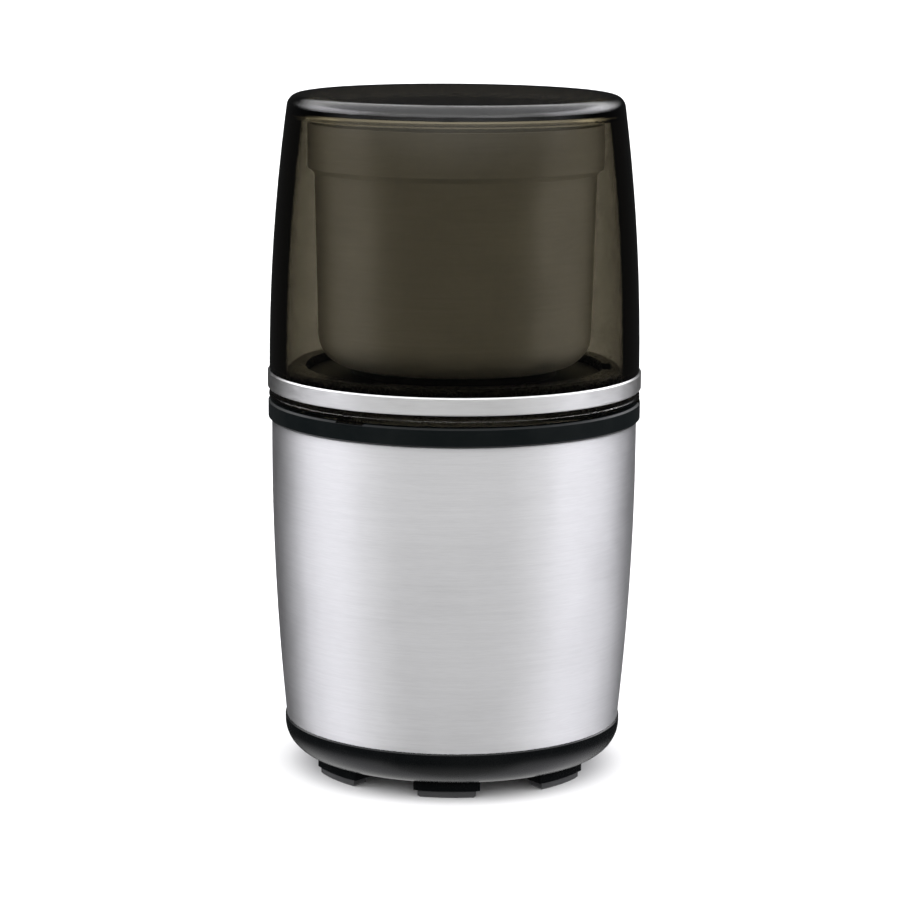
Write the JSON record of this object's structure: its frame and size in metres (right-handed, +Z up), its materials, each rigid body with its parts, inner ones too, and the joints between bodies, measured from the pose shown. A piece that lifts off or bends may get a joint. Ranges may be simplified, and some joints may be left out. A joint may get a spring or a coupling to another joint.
{
  "type": "electric spice grinder",
  "caption": "Free-standing electric spice grinder: smoked push-down lid on a sprung collar, lift-out steel bowl with a blade, and a steel barrel that holds the motor.",
  "frame": {"origin": "on the table under the motor axis, at the underside of the rubber foot pads", "axes": "+Z up along the motor axis; the front, seen in use, faces -Y"},
  "size_m": [0.1092, 0.1092, 0.198],
  "materials": {
    "smoked_plastic": "clear moulding with a smoke tint, polished",
    "band_steel": "brushed round the ring, bright edges",
    "barrel_steel": "fine brushing round the barrel",
    "bowl_steel": "spun and brushed",
    "blade_steel": "ground edges",
    "shaft_steel": "turned and ground",
    "spring_steel": "drawn",
    "screw_steel": "zinc plated",
    "bearing_steel": "ground",
    "lamination_steel": "stacked sheet, varnished",
    "frame_aluminium": "die cast",
    "winding_copper": "enamelled wire, varnished",
    "commutator_copper": "turned",
    "holder_brass": "pressed sheet",
    "bronze": "sintered, oiled",
    "brush_carbon": "pressed graphite",
    "fuse_ceramic": "glazed body",
    "collar_black": "moulded, semi-gloss",
    "base_black": "moulded, satin",
    "cover_black": "moulded, fine texture",
    "deck_black": "moulded, satin",
    "bowl_black": "moulded, satin",
    "nylon_black": "glass-filled nylon",
    "fan_nylon": "natural nylon",
    "switch_plastic": "moulded case",
    "pad_rubber": "moulded, matt",
    "seal_rubber": "moulded"
  },
  "bodies": {
    "base": {"motor_housing": "barrel_steel", "base_ring": "base_black", "foot_pads": "pad_rubber", "base_cover": "cover_black", "top_deck": "deck_black", "deck_seal": "seal_rubber", "deck_screws": "screw_steel", "cover_screws": "screw_steel", "bowl_seat": "deck_black", "collar_springs": "spring_steel", "stator_core": "lamination_steel", "field_coils": "winding_copper", "upper_bracket": "frame_aluminium", "lower_bracket": "frame_aluminium", "upper_bearing": "bearing_steel", "lower_bearing": "bearing_steel", "motor_bolts": "screw_steel", "brush_holders": "holder_brass", "carbon_brushes": "brush_carbon", "brush_springs": "spring_steel", "rubber_mounts": "seal_rubber", "mount_screws": "screw_steel", "thermal_fuse": "fuse_ceramic", "microswitch": "switch_plastic", "switch_screws": "screw_steel"},
    "press_collar": {"press_collar": "collar_black"},
    "lid": {"lid_dome": "smoked_plastic", "lid_band": "band_steel"},
    "bowl": {"grinding_bowl": "bowl_steel", "bowl_base": "bowl_black", "bowl_bushing": "bronze", "bowl_shaft_seal": "seal_rubber", "bowl_rivets": "bowl_steel"},
    "blade": {"grinding_blade": "blade_steel", "blade_spindle": "shaft_steel", "blade_nut": "shaft_steel", "spindle_washer": "shaft_steel", "driven_coupling": "nylon_black"},
    "rotor": {"motor_shaft": "shaft_steel", "armature_core": "lamination_steel", "armature_windings": "winding_copper", "commutator": "commutator_copper", "cooling_fan": "fan_nylon", "drive_coupling": "nylon_black"},
    "interlock_rod": {"interlock_rod": "fan_nylon"},
    "switch_lever": {"switch_lever": "spring_steel"},
    "switch_plunger": {"switch_plunger": "fan_nylon"}
  },
  "joints": [
    {"name": "press", "type": "slide", "parent": "base", "child": "press_collar", "axis": [0, 0, 1], "range_m": [-0.002, 0], "stiffness_N_per_m": 3000, "springref_m": 0.003, "deforming": ["collar_springs"]},
    {"name": "lid_lift", "type": "slide", "parent": "press_collar", "child": "lid", "axis": [0, 0, 1], "range_m": [0, 0.1]},
    {"name": "bowl_turn", "type": "hinge", "parent": "base", "child": "bowl", "pos_m": [0, 0, 0.1143], "axis": [0, 0, 1], "range_deg": [0, 25]},
    {"name": "motor_spin", "type": "hinge", "parent": "base", "child": "rotor", "pos_m": [0, 0, 0.06], "axis": [0, 0, 1], "continuous": true},
    {"name": "blade_spin", "type": "hinge", "parent": "bowl", "child": "blade", "pos_m": [0, 0, 0.12], "axis": [0, 0, 1], "continuous": true},
    {"name": "rod_slide", "type": "slide", "parent": "base", "child": "interlock_rod", "axis": [0, 0, 1], "range_m": [-0.002, 0]},
    {"name": "lever_turn", "type": "hinge", "parent": "base", "child": "switch_lever", "pos_m": [-0.01464, -0.04767, 0.0906], "axis": [-0.515, -0.8572, 0], "range_deg": [0, 9.6]},
    {"name": "plunger_slide", "type": "slide", "parent": "base", "child": "switch_plunger", "axis": [0, 0, 1], "range_m": [-0.0005, 0]}
  ],
  "couplings": [
    {"joint": "blade_spin", "follows": "motor_spin", "ratio": 1},
    {"joint": "rod_slide", "follows": "press", "ratio": 1},
    {"joint": "lever_turn", "follows": "press", "rad_per_m": -83.333},
    {"joint": "plunger_slide", "follows": "press", "ratio": 0.25}
  ]
}
